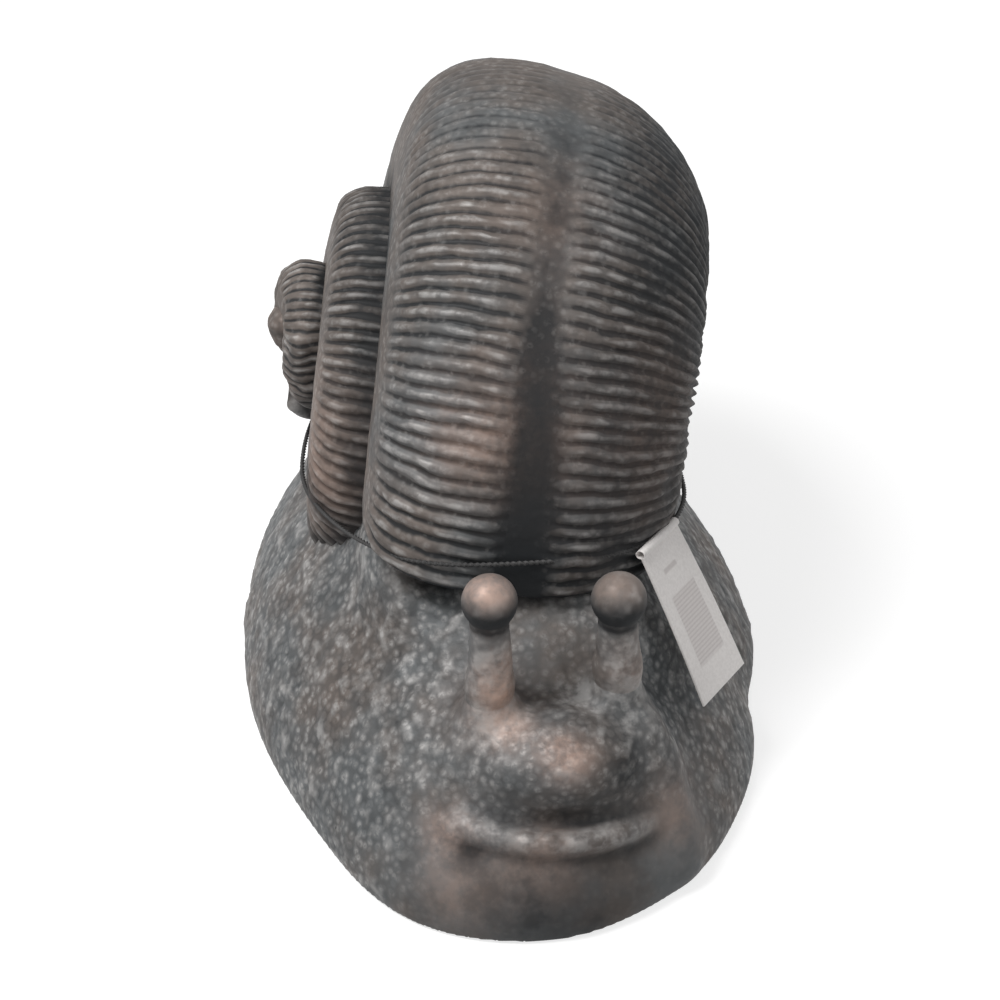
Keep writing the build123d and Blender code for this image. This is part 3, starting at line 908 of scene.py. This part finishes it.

# %% Copper, dirt, painted shade and painted highlights of the body
copper_spots = (
    ((4, 157, 68), 9, 0.9),
    ((-42, 160, 40), 9, 0.6),
    ((-16, 142, 72), 9, 0.5),
    ((-21, 130, 76), 16, 0.35),
    ((46, 150, 34), 16, 0.3),
    ((-6, 172, 32), 14, 0.35),
    ((-34, 168, 22), 18, 0.35),
)
# painted highlight: the lip ridge is painted pale, and the painted shade is kept off it
lip_highlight = np.exp(-((np.maximum(line_gap(*vertices.T, LIP, 3.2), 0) / (2.2 * MM)) ** 2))
# painted shade, carried with the dirt: under the chin, right of the nose, between the head and the right
# flank, above the lip and under the left cheek
shaded_places = (
    ((0, 172, 12), 38, 0.7),
    ((26, 154, 58), 10, 0.5),
    ((50, 118, 60), 20, 0.5),
    ((9, 163, 44), 13, 0.2),
    ((-34, 166, 34), 6, 0.5),
)
# the first spot, in the hollow between the stalk feet, is a painted highlight; the others are paler spots
# on the left of the back and in front of the stalk feet
rubbed_and_highlight_places = (
    ((11, 127, 72), 8, 0.7),
    ((-60, 46, 92), 16, 0.2),
    ((-17, 139, 76), 12, 0.5),
    ((31, 135, 76), 11, 0.4),
)
body = skin_piece("body_skin", vertices, faces, body_finish, {
    "height": (0.67 + (lumps - 0.5) * 1.1 * (1 - polished) + crest * 0.3 - polished * 0.16
               + lip_highlight * 0.35 + spots(vertices, rubbed_and_highlight_places)),
    # dirt and shade: dark patina in the folds, plus the painted shade of the shaded places
    "dirt_and_shade": (fold * 0.8 * (1 - spots(vertices, (((0, 168, 33), 22, 0.6),)))
             + spots(vertices, shaded_places) * (1 - lip_highlight)),
    "copper": spots(vertices, copper_spots),
    "grain": 0.95 - polished * 0.85,
})


# %% [markdown]
# ## Eye stalks
# Each stalk tapers up from a wide foot that melts into the head and ends in a ball, rubbed to copper.
# A shallow crease under the ball keeps the two apart, as on the real casting.

# %% Eye stalks
stalk_finish = cast_finish("stalk_patina", 0.5)
STALK_END, STALK_LOW, STALK_WAIST, BALL_RADIUS = 62, 64, 84, 10.4
FOOT_FADE, LUMP_START, BOX_MARGIN = 8, 82, 15


def stalk_field(at_x, at_y, top):
    """Distance from the skin of one stalk and its ball."""
    def field_of(x, y, z):
        waist = (at_x, at_y, STALK_WAIST)
        field = rod(x, y, z, (at_x, at_y, STALK_LOW), waist, 9.6, 8.7)
        field = melt(field, rod(x, y, z, waist, (at_x, at_y, top - 9), 8.8, 7.2), 3)
        field = melt(field, egg(x, y, z, (at_x, at_y, top), (BALL_RADIUS,) * 3), 2.5)
        return np.maximum(field, STALK_END * MM - z)
    return field_of


# %% Make the two stalks
stalks = {}
for side, at_x, at_y, top in STALKS:
    shape = stalk_field(at_x, at_y, top)
    low = ((at_x - BOX_MARGIN) * MM, (-at_y - BOX_MARGIN) * MM, 60 * MM)
    high = ((at_x + BOX_MARGIN) * MM, (-at_y + BOX_MARGIN) * MM, (top + 13) * MM)
    vertices, faces = net(shape, low, high, GRID_FINE)
    normals = gradient(shape, vertices)
    lumps = hash_noise(vertices, 2.8 * MM, 4) * 0.6 + hash_noise(vertices, 9 * MM, 5) * 0.4
    on_ball = np.clip((vertices[:, 2] - (top - 9) * MM) / (3 * MM), 0, 1)
    above_foot = np.clip((vertices[:, 2] - LUMP_START * MM) / (FOOT_FADE * MM), 0, 1)
    vertices = vertices + normals * ((lumps - 0.5) * 0.9 * MM * above_foot * (1 - 0.7 * on_ball))[:, None]
    crease = np.exp(-(((vertices[:, 2] - (top - 9.5) * MM) / (1.6 * MM)) ** 2))
    # painted shade on the lower half of each ball, under the light from above
    ball_shade = on_ball * np.clip(((top + 6) * MM - vertices[:, 2]) / (8 * MM), 0, 1)
    rubbed = 1.0 if side == "left" else 0.25
    copper_spots = (
        ((at_x - 2, at_y + 3, top + 6), 12, 0.85 * rubbed),
        ((at_x + 5, at_y + 8, 92), 11, 0.7 * rubbed),
        ((at_x + 5, at_y + 9, 80), 10, 0.7 * rubbed),
    )
    # the fronts of the stalks are painted pale, most on the left stalk: rubbed metal and a painted
    # highlight
    rub_and_highlight = spots(vertices, (((at_x + 4, at_y + 8, 94), 12, 0.8), ((at_x + 4, at_y + 9, 80), 12, 0.8)))
    stalks[side] = skin_piece("eye_stalk_skin_" + side, vertices, faces, stalk_finish, {
        "height": 0.5 + (lumps - 0.5) * 0.7 + on_ball * 0.12 + rub_and_highlight * (1.3 if side == "left" else 0.5),
        "dirt_and_shade": crease * 0.8 + ball_shade,
        "copper": spots(vertices, copper_spots) * (1 - ball_shade * 0.85),
        "grain": 0.45 - on_ball * 0.3,
    })


# %% [markdown]
# ## Tip of the spire
# The last turn of a shell closes in a small knob. Here a lumpy egg sits on the axis and covers the
# place where the wound tube ends.

# %% Tip of the spire
KNOB_BACK, KNOB_UP, KNOB_LIFT = 13 * MM, Vector((0, 0, 5 * MM)), 2.4 * MM
tip_place = SHELL_CENTRE + spire * (SPIRE_REACH - KNOB_BACK) + KNOB_UP
tip_middle = (tip_place.x / MM, -tip_place.y / MM, tip_place.z / MM)


def tip_field(x, y, z):
    """Distance from the knob at the tip."""
    knob = egg(x, y, z, tip_middle, (9, 11, 10.5))
    return melt(knob, egg(x, y, z, (tip_middle[0] - 4, tip_middle[1] + 3, tip_middle[2] + 4), (6, 7, 7)), 4)


reach = Vector((15, 16, 15)) * MM
vertices, faces = net(tip_field, tip_place - reach, tip_place + reach, 0.9 * MM)
normals = gradient(tip_field, vertices)
lumps = hash_noise(vertices, 6 * MM, 6) * 0.7 + hash_noise(vertices, 2.6 * MM, 7) * 0.3
vertices = vertices + normals * ((lumps - 0.5) * KNOB_LIFT)[:, None]
apex = skin_piece("spire_apex", vertices, faces, spire_finish, {
    "height": 0.3 + lumps * 0.5,
    "dirt_and_shade": 0.35 - lumps * 0.3,
    "copper": lumps * 0.2,
    "grain": 0.5 + lumps * 0.2,
})

# %% [markdown]
# ## Dirt, painted shade and copper on the shell
# The wound pieces only know the height of their ribs. Dark patina and painted shade gather in the
# furrow, low down where the shell meets the back, and in the deep joint beside the second whorl; the
# right half of the shell is painted darker too, partly as painted shade. Copper shows on a few rubbed
# places.

# %% Paint the shell
def read_points(piece):
    """Places of a piece's points as an array."""
    values = np.empty((len(piece.data.vertices), 3))
    piece.data.vertices.foreach_get("co", values.ravel())
    return values


def read_attribute(piece, key):
    """A painted attribute as an array."""
    values = np.empty(len(piece.data.vertices))
    piece.data.attributes[key].data.foreach_get("value", values)
    return values


def nearest(points, others, stride=3):
    """Distance from each point to the nearest of some others."""
    tree = kdtree.KDTree(len(others[::stride]))
    for k, point in enumerate(others[::stride]):
        tree.insert(point, k)
    tree.balance()
    return np.array([tree.find(point)[2] for point in points])


def paint(piece, dirt_and_shade_values, copper_values):
    """Writes dirt with painted shade, and copper, on a piece's points."""
    write_values(piece.data, "dirt_and_shade", np.clip(dirt_and_shade_values, 0, 1))
    write_values(piece.data, "copper", np.clip(copper_values, 0, 1))


# %% Dirt and painted shade in the joints
body_points = read_points(body)
left_points, right_points = read_points(whorls["shell_left"]), read_points(whorls["shell_right"])
second_points = read_points(whorls["spire_second"])
shell_copper = (
    ((-14, 84, 162), 24, 0.35),
    ((-78, 20, 110), 34, 0.35),
    ((18, 30, 225), 24, 0.15),
    ((45, 70, 150), 34, 0.25),
)
close = {
    "shell_left": np.minimum(nearest(left_points, second_points), nearest(left_points, body_points, 5)),
    "shell_right": nearest(right_points, body_points, 5),
    "spire_second": np.minimum(nearest(second_points, left_points), nearest(second_points, body_points, 5)),
    "spire_point": nearest(read_points(whorls["spire_point"]), second_points),
}
for name, piece in whorls.items():
    points_now = read_points(piece)
    # darker near the other pieces: dark patina in the joints and painted shade, spread widest beside the
    # second whorl
    reach = {"spire_second": 14, "shell_left": 7}.get(name, 4) * MM
    joint_dirt_and_shade = np.exp(-((close[name] / reach) ** 2)) * 0.85
    if name in ("shell_left", "shell_right"):
        # painted shade in the furrow low down at the mouth
        low_down = np.clip((-0.12 - read_attribute(piece, "turn")) * 14, 0, 1)
        joint_dirt_and_shade = np.maximum(joint_dirt_and_shade, read_attribute(piece, "furrow") * low_down * 1.3)
        # the right half of the shell, turned away from the key lamp, is painted darker: partly darker
        # paint, partly painted shade
        away = np.clip((SEAM - 8 * MM - read_attribute(piece, "along")) / (30 * MM), 0, 1)
        joint_dirt_and_shade = joint_dirt_and_shade + (0.08 + 0.52 * away) * (1 - joint_dirt_and_shade)
    paint(piece, joint_dirt_and_shade, spots(points_now, shell_copper))
    print(name, "mean dirt", round(float(joint_dirt_and_shade.mean()), 2))

# %% [markdown]
# ## Cord
# A thin dark cord is tied round the foot of the shell and carries the label. It is laid from two
# strands. A curve follows the corners of its route, and Geometry Nodes sweep a two-lobed section
# along it, turning as it goes, which gives the twist.

# %% Route of the cord
ROUTE = (
    (-22.4, 145.6, 62.2), (-41.0, 136.0, 64.3), (-61.5, 100.5, 72.0), (-67.5, 66.0, 79.4),
    (-75.5, 34.0, 85.0), (-79.3, 2.0, 86.0), (-69.8, -49.6, 102.0), (-53.0, -85.8, 112.8),
    (-34.3, -98.3, 115.6), (-3.7, -102.6, 116.6), (41.5, -92.2, 109.5), (65.7, -57.6, 104.5),
    (69.0, -14.0, 96.4), (71.5, 24.0, 88.2), (65.0, 66.0, 79.5), (54.6, 106.0, 70.9),
    (38.4, 129.8, 65.7), (8.5, 145.6, 62.2),
)
CORD_RADIUS, TWIST_PITCH = 1.0 * MM, 4.5 * MM
corners = [Vector(point) * MM for point in ROUTE]
meeting = (corners[0] + corners[-1]) / 2
towards = (corners[0] - corners[-1]).normalized()
line = [meeting + towards * 0.5 * MM, *corners, meeting - towards * 0.5 * MM]
curve = bpy.data.curves.new("cord_route", "CURVE")
curve.dimensions = "3D"
spline = curve.splines.new("NURBS")
spline.points.add(len(line) - 1)
for point, place_of in zip(spline.points, line):
    point.co = (*place_of, 1)
spline.order_u = 3
spline.use_endpoint_u = True
spline.resolution_u = 12
cord_line = add_object("cord_route", curve)
print("cord control points", len(line))

# %% Tree that twists the cord
twisting, twist_in, twist_out = new_tree(
    "twisted_cord", "GeometryNodeTree",
    [("Line", "NodeSocketGeometry", None), ("Radius", "NodeSocketFloat", CORD_RADIUS),
     ("Pitch", "NodeSocketFloat", TWIST_PITCH), ("Step", "NodeSocketFloat", 0.6 * MM),
     ("Finish", "NodeSocketMaterial", None)],
    [("Cord", "NodeSocketGeometry")],
)
even = put(twisting, "GeometryNodeResampleCurve",
           {"Curve": twist_in.outputs["Line"], "Length": twist_in.outputs["Step"]}, mode="LENGTH")
length_here = Number(twisting, put(twisting, "GeometryNodeSplineParameter").outputs["Length"])
turned = put(twisting, "GeometryNodeSetCurveTilt", {
    "Curve": even.outputs[0], "Tilt": length_here / Number(twisting, twist_in.outputs["Pitch"]) * math.tau})
ring_line = put(twisting, "GeometryNodeCurvePrimitiveCircle", {"Resolution": 14})
twisting.links.new(twist_in.outputs["Radius"], live_socket(ring_line.inputs, "Radius"))
here = put(twisting, "GeometryNodeInputPosition").outputs[0]
spot = put(twisting, "ShaderNodeSeparateXYZ", {"Vector": here})
round_angle = Number(twisting, spot.outputs[1]).do("ARCTAN2", Number(twisting, spot.outputs[0]))
waist = round_angle.do("SINE").do("ABSOLUTE").do("POWER", 1.6) * -0.42 + 1
lobed = put(twisting, "GeometryNodeSetPosition",
            {"Geometry": ring_line.outputs[0], "Position": scaled(here, waist, twisting)})
swept = put(twisting, "GeometryNodeCurveToMesh", {
    "Curve": turned.outputs[0], "Profile Curve": lobed.outputs[0], "Fill Caps": True})
end_tree(twisting, swept.outputs[0], twist_in, twist_out)


# %% Plain materials
def plain_finish(name, colour, roughness, metallic=0.0, size=2 * MM, contrast=0.35, bump_depth=0.1 * MM):
    """A material with a fine random grain in its colour, gloss and surface."""
    material, tree, shader = new_material(name)
    place = put(tree, "ShaderNodeTexCoord").outputs["Object"]
    fine, wide = cloud(tree, place, size, 4.0), cloud(tree, place, size * 9, 3.0)
    dark = tuple(value * (1 - contrast) for value in colour) + (1,)
    light = tuple(min(1, value * (1 + contrast)) for value in colour) + (1,)
    tone = colour_mix(tree, (fine * 0.6 + wide * 0.4).fade(0.3, 0.7), dark, light)
    dress(tree, shader, tone, (wide * 0.2 + (roughness - 0.1)).socket, fine, 0.5, bump_depth)
    shader.inputs["Metallic"].default_value = metallic
    return material


cord_finish = plain_finish("cord_fibre", (0.035, 0.034, 0.034), 0.7, size=0.5 * MM, contrast=0.5)
cord = run_tree(cord_line, twisting, {"Finish": cord_finish}, "tag_cord_twisted")
face_outwards(cord)

# %% [markdown]
# ## Paper label
# The label is one strip of stiff warm grey paper, folded over the cord so that its halves hang
# together. It is a thin sheet with a little curl and twist. Pale grey blocks stand where a label is
# usually printed, with nothing to read on them.

# %% Label sheet
LABEL_LENGTH, LABEL_WIDTH, PAPER = 66 * MM, 31 * MM, 0.24 * MM
LABEL_LEAN = math.radians(27)
fold_from, fold_to = corners[10], corners[11]
fold_line = (fold_to - fold_from).normalized()
SLIDE, LABEL_SKEW, LABEL_TWIST = 7 * MM, math.radians(5), math.radians(8)
fold_middle = (fold_from + fold_to) / 2 - fold_line * SLIDE
DOWN = Vector((0, 0, -1))
outwards_x = pointing(fold_line.cross(DOWN).normalized(), Vector((1, 0, 0)))
downwards = pointing(fold_line.cross(outwards_x).normalized(), DOWN)
hang = downwards * math.cos(LABEL_LEAN) + outwards_x * math.sin(LABEL_LEAN)
face_way = pointing(hang.cross(fold_line), outwards_x)
hang = hang * math.cos(LABEL_SKEW) + fold_line * math.sin(LABEL_SKEW)
FOLD_RADIUS, PLY_GAP, LABEL_CURL = 1.75 * MM, 0.26 * MM, 0.9 * MM

# %% Points of the sheet
DOWN_STEPS, FOLD_STEPS, ACROSS = 40, 12, 18
ply = [(LABEL_LENGTH * k / DOWN_STEPS, (PLY_GAP + PAPER) / 2) for k in range(1, DOWN_STEPS + 1)]
fold_turns = [math.radians(-160 + 320 * k / FOLD_STEPS) for k in range(FOLD_STEPS + 1)]
profile = [(down, -off) for down, off in reversed(ply)]
profile += [(-FOLD_RADIUS * math.cos(way) * 0.95, FOLD_RADIUS * math.sin(way)) for way in fold_turns]
profile += ply
sheet_mesh = bmesh.new()
uv_layer = sheet_mesh.loops.layers.uv.new("paper")
rows = []
for down, off in profile:
    row = []
    for j in range(ACROSS + 1):
        side = (j / ACROSS - 0.5) * LABEL_WIDTH
        reach = max(0, down) / LABEL_LENGTH
        curl = LABEL_CURL * math.sin(reach * 2.6)
        twist = LABEL_TWIST * reach
        across_way = fold_line * math.cos(twist) + face_way * math.sin(twist)
        across_way = across_way - hang * across_way.dot(hang) * reach
        off_way = face_way * math.cos(twist) - fold_line * math.sin(twist)
        place_of = fold_middle + hang * down + across_way * side + off_way * (off + curl)
        row.append((sheet_mesh.verts.new(place_of), (j / ACROSS, reach, off)))
    rows.append(row)
for before, after in zip(rows, rows[1:]):
    for j in range(ACROSS):
        corner_set = (before[j], before[j + 1], after[j + 1], after[j])
        face = sheet_mesh.faces.new([vertex for vertex, _ in corner_set])
        for loop, (_, (u, v, off)) in zip(face.loops, corner_set):
            loop[uv_layer].uv = (u, v if off > 0 else v + 2)
        face.smooth = True

# %% Thickness of the paper
label_mesh = bpy.data.meshes.new("label_sheet")
sheet_mesh.to_mesh(label_mesh)
sheet_mesh.free()
label = add_object("label_sheet", label_mesh)
thick = label.modifiers.new("paper", "SOLIDIFY")
thick.thickness, thick.offset = PAPER, 0
label.data = finished_mesh(label)
label.modifiers.clear()
face_outwards(label)

# %% Paper finish
paper, tree, shader = new_material("label_paper")
uv = put(tree, "ShaderNodeUVMap", uv_map="paper")
split = put(tree, "ShaderNodeSeparateXYZ", {"Vector": uv.outputs[0]})
u, v = Number(tree, split.outputs[0]), Number(tree, split.outputs[1])


def band(value, low, high, soft=0.012):
    """1 between low and high, with soft edges."""
    return value.fade(low - soft, low + soft) * value.fade(high + soft, high - soft)


grey_block = band(u, 0.22, 0.80) * band(v, 0.34, 0.80)
top_line = band(u, 0.30, 0.62, 0.02) * band(v, 0.17, 0.20, 0.008)
stripes = (v * 260).do("SINE").fade(-0.2, 0.6)
fibres = cloud(tree, put(tree, "ShaderNodeTexCoord").outputs["Object"], 1.2 * MM, 4.0)
print_share = grey_block * (stripes * 0.3 + 0.35) + top_line * 0.6
PAPER_DARK, PAPER_PALE, BLOCK_GREY = (0.83, 0.795, 0.775, 1), (0.92, 0.885, 0.865, 1), (0.54, 0.49, 0.48, 1)
paper_tone = colour_mix(tree, fibres.fade(0.3, 0.7), PAPER_DARK, PAPER_PALE)
paper_tone = colour_mix(tree, print_share.do("MINIMUM", 1), paper_tone, BLOCK_GREY)
dress(tree, shader, paper_tone, (fibres * 0.15 + 0.6).socket, fibres, 0.3, 0.05 * MM)
label.data.materials.append(paper)

# %% [markdown]
# ## Parts that keep their solids
# The base plate, its screws, pads and plug, and the sleeve that joins the cord have the right shape
# already. They only get the finish of their material.

# %% Finishes of the solids
steel = plain_finish("turned_steel", (0.42, 0.42, 0.42), 0.35, 1.0, 0.6 * MM, 0.2)
node_finish = {
    "base_plate": cast_finish("plate_patina", 0.4, painted=False),
    "base_screws": steel,
    "seam_dowels": steel,
    "stalk_pin_left": steel,
    "stalk_pin_right": steel,
    "foot_pads": plain_finish("felt", (0.045, 0.045, 0.048), 0.95, 0.0, 0.9 * MM, 0.5, 0.4 * MM),
    "filler_plug": plain_finish("black_rubber", (0.025, 0.025, 0.026), 0.65, 0.0, 1.5 * MM, 0.3),
    "cord_crimp": plain_finish("pressed_aluminium", (0.22, 0.22, 0.22), 0.45, 1.0, 0.5 * MM, 0.2),
}
for name, material in node_finish.items():
    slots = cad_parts[name].data.materials
    slots.clear()
    slots.append(material)
print("finished solids", *node_finish)

# %% [markdown]
# ## What stands for what
# Each dressed piece hides its plain solid and moves with the same body, so the label still swings
# and the plug still pulls out. The knob at the tip hides nothing: it closes the end of the tube.

# %% Pieces and bodies
for piece, body_name, node_name, slot_name in (
    (body, "snail", "foot_casting", "bronze_patina"),
    (whorls["shell_left"], "snail", "shell_left_half", "bronze_patina"),
    (whorls["shell_right"], "snail", "shell_right_half", "bronze_patina"),
    (whorls["spire_second"], "snail", "spire_whorl", "bronze_patina"),
    (whorls["spire_point"], "snail", "spire_tip", "bronze_patina"),
    (stalks["left"], "snail", "eye_stalk_left", "bronze_patina"),
    (stalks["right"], "snail", "eye_stalk_right", "bronze_patina"),
    (cord, "snail", "tag_cord", "cord"),
    (label, "label", "tag_label", "paper"),
):
    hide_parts(node_name)
    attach(piece, body_name)
    print(piece.name, "stands for", node_name, "and moves with", body_name)
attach(apex, "snail")

# %% [markdown]
# ## Floor and light
# The snail stands on a plain white floor. The floor's own colour makes the background white where
# the camera looks at it, and its shadow stays. A broad lamp high on the left shapes the ribs, and the
# pale surroundings fill the rest.

# %% Floor
def straight_look(tree):
    """1 where the camera, a reflection or a look through glass sees a surface, 0 for its light."""
    path = put(tree, "ShaderNodeLightPath")
    camera_ray, glossy_ray, through_ray = (
        Number(tree, path.outputs[f"Is {kind} Ray"]) for kind in ("Camera", "Glossy", "Transmission"))
    return camera_ray.do("MAXIMUM", glossy_ray).do("MAXIMUM", through_ray)


FLOOR_HALF, FLOOR_GREY, FLOOR_GLOW = 4.0, 0.42, 0.72
floor_mesh = bpy.data.meshes.new("floor")
floor_corners = ((-1, -1), (1, -1), (1, 1), (-1, 1))
floor_mesh.from_pydata([(x * FLOOR_HALF, y * FLOOR_HALF, 0) for x, y in floor_corners], [], [(0, 1, 2, 3)])
floor = add_object("floor", floor_mesh)
floor_white, tree, floor_shader = new_material("floor_white")
floor_shader.inputs["Base Color"].default_value = (FLOOR_GREY, FLOOR_GREY, FLOOR_GREY, 1)
floor_shader.inputs["Roughness"].default_value = 0.9
seen = straight_look(tree)
floor_shader.inputs["Emission Color"].default_value = (1, 1, 1, 1)
tree.links.new((seen * FLOOR_GLOW).socket, floor_shader.inputs["Emission Strength"])
floor.data.materials.append(floor_white)

# %% Light
SKY_LIGHT = 0.26
world = bpy.data.worlds.new("world")
scene.world = world
world.use_nodes = True
tree = world.node_tree
seen = straight_look(tree)
sky = tree.nodes["Background"]
sky.inputs["Color"].default_value = (1, 1, 1, 1)
tree.links.new(seen.between(SKY_LIGHT, 1.0).socket, sky.inputs["Strength"])

# %% Lamps
# name, place, side in metres and power in watts
LAMPS = (
    ("key", (-0.8, -0.3, 1.7), 0.7, 30),
    ("soft_front", (-0.5, -1.7, 1.4), 1.2, 3),
    ("soft_right", (1.5, -0.9, 1.2), 1.2, 4.5),
)
LAMP_AIM = Vector((0, 0, 0.09))
for name, place_of, side, power in LAMPS:
    data = bpy.data.lights.new(name, "AREA")
    data.size, data.energy = side, power
    look(add_object(name, data), place_of, LAMP_AIM - Vector(place_of))
print("lamps", [light.name for light in bpy.data.lights])
scene.view_settings.view_transform = "Standard"
